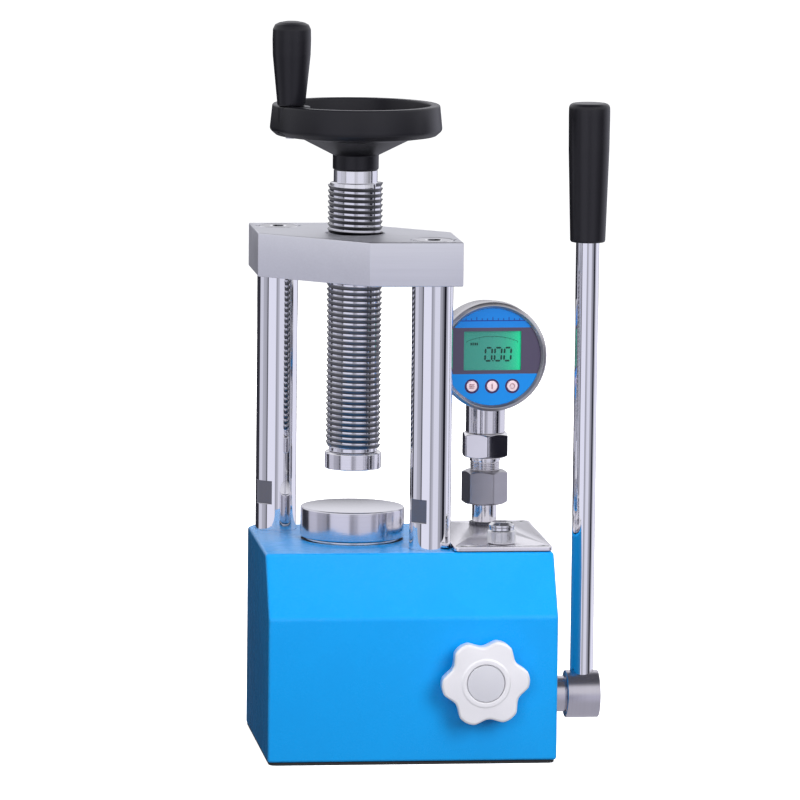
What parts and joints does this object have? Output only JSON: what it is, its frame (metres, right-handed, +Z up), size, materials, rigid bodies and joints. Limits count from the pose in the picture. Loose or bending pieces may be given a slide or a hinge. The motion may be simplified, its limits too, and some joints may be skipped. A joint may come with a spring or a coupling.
{
  "type": "tablet press",
  "caption": "Manual hydraulic tablet press: painted base with hand pump lever, ram and platen, twin columns, crosshead, handwheel screw and a digital gauge.",
  "frame": {"origin": "on the ram and lead screw axis, on the surface that the press stands on", "axes": "+X to the right, where the pump lever is; +Y to the back, so the gauge and release knob face -Y; +Z up along the screw"},
  "size_m": [0.2551, 0.198, 0.5305],
  "materials": {
    "blue_paint": "gloss enamel over a cast surface, slight orange peel",
    "chrome": "polished hard chrome",
    "ground_steel": "ground and plated, fine grain",
    "screw_steel": "turned thread, bright",
    "stainless": "brushed stainless",
    "satin_aluminium": "satin bead-blasted",
    "dark_steel": "black oxide",
    "brass": "turned",
    "black_plastic": "moulded phenolic, satin",
    "rubber": "matt",
    "dial_film": "printed film, blue with a dark band",
    "display": "backlit liquid crystal display",
    "display_window": "clear window",
    "button": "soft-touch key",
    "board": "circuit board"
  },
  "bodies": {
    "frame": {"base_casting": "blue_paint", "base_mat": "rubber", "column_left": "chrome", "column_right": "chrome", "column_key_left_a": "dark_steel", "column_key_left_b": "dark_steel", "column_key_right_a": "dark_steel", "column_key_right_b": "dark_steel", "crosshead": "ground_steel", "ram_wiper": "rubber", "cover_gasket": "rubber", "cover_plate": "stainless", "cover_screw_front_left": "chrome", "cover_screw_front_right": "chrome", "cover_screw_back_left": "chrome", "cover_screw_back_right": "chrome", "riser_tube": "chrome", "riser_collar": "dark_steel", "lower_nut": "stainless", "gauge_adapter": "stainless", "upper_nut": "chrome", "gauge_stem": "chrome", "gauge_case": "satin_aluminium", "gauge_back_cover": "satin_aluminium", "gauge_bezel": "satin_aluminium", "dial_plate": "dial_film", "display_window": "display_window", "display_module": "display", "circuit_board": "board", "shaft_bush": "brass", "pump_block": "ground_steel", "valve_gland": "ground_steel"},
    "swivel_foot": {"swivel_foot": "screw_steel", "foot_set_screw": "dark_steel"},
    "screw": {"lead_screw": "screw_steel", "handwheel": "black_plastic", "wheel_washer": "chrome", "wheel_bolt": "chrome", "handle_spindle": "ground_steel"},
    "crank_handle": {"crank_handle": "black_plastic", "handle_cap": "black_plastic"},
    "ram": {"ram": "chrome", "ram_seal": "rubber", "platen": "ground_steel"},
    "lever": {"lever_socket": "stainless", "lever_pin": "dark_steel", "pump_shaft": "ground_steel", "lever_rod": "chrome", "lever_grip": "black_plastic"},
    "plunger": {"pump_plunger": "ground_steel"},
    "valve_ball": {"valve_ball": "chrome"},
    "release_knob": {"release_knob": "satin_aluminium", "knob_cap": "satin_aluminium", "valve_spindle": "ground_steel"},
    "plug_ring": {"plug_ring": "rubber"},
    "filler_plug": {"filler_plug": "chrome", "plug_cap": "chrome"},
    "button_left": {"gauge_button_left": "button"},
    "button_middle": {"gauge_button_middle": "button"},
    "button_right": {"gauge_button_right": "button"}
  },
  "joints": [
    {"name": "screw_turn", "type": "hinge", "parent": "swivel_foot", "child": "screw", "pos_m": [0, 0, 0.3], "axis": [0, 0, 1], "range_deg": [-2521, 10801]},
    {"name": "screw_travel", "type": "slide", "parent": "frame", "child": "swivel_foot", "axis": [0, 0, 1], "range_m": [-0.028, 0.12]},
    {"name": "crank_handle_spin", "type": "hinge", "parent": "screw", "child": "crank_handle", "pos_m": [-0.04933, -0.01796, 0.49], "axis": [0, 0, 1], "continuous": true},
    {"name": "ram_lift", "type": "slide", "parent": "frame", "child": "ram", "axis": [0, 0, 1], "range_m": [0, 0.025]},
    {"name": "lever_swing", "type": "hinge", "parent": "frame", "child": "lever", "pos_m": [0.169, -0.0154, 0.0355], "axis": [1, 0, 0], "range_deg": [-20, 40]},
    {"name": "plunger_stroke", "type": "slide", "parent": "frame", "child": "plunger", "axis": [0, -1, 0], "range_m": [-0.0045, 0.0088]},
    {"name": "valve_turn", "type": "hinge", "parent": "valve_ball", "child": "release_knob", "pos_m": [0.084, -0.11, 0.0625], "axis": [0, -1, 0], "range_deg": [0, 720.5]},
    {"name": "valve_travel", "type": "slide", "parent": "frame", "child": "valve_ball", "axis": [0, -1, 0], "range_m": [0, 0.003]},
    {"name": "plug_turn", "type": "hinge", "parent": "plug_ring", "child": "filler_plug", "pos_m": [0.103, -0.0555, 0.16], "axis": [0, 0, 1], "range_deg": [0, 1441]},
    {"name": "plug_lift", "type": "slide", "parent": "frame", "child": "plug_ring", "axis": [0, 0, 1], "range_m": [0, 0.006]},
    {"name": "button_left_press", "type": "slide", "parent": "frame", "child": "button_left", "axis": [-0.0436, 0.999, 0], "range_m": [0, 0.0006], "stiffness_N_per_m": 400, "springref_m": -0.0006},
    {"name": "button_middle_press", "type": "slide", "parent": "frame", "child": "button_middle", "axis": [-0.0436, 0.999, 0], "range_m": [0, 0.0006], "stiffness_N_per_m": 400, "springref_m": -0.0006},
    {"name": "button_right_press", "type": "slide", "parent": "frame", "child": "button_right", "axis": [-0.0436, 0.999, 0], "range_m": [0, 0.0006], "stiffness_N_per_m": 400, "springref_m": -0.0006}
  ],
  "couplings": [
    {"joint": "screw_turn", "follows": "screw_travel", "rad_per_m": 1570.8},
    {"joint": "plunger_stroke", "follows": "lever_swing", "m_per_rad": 0.012},
    {"joint": "valve_turn", "follows": "valve_travel", "rad_per_m": 4188.8},
    {"joint": "plug_turn", "follows": "plug_lift", "rad_per_m": 4188.8}
  ]
}
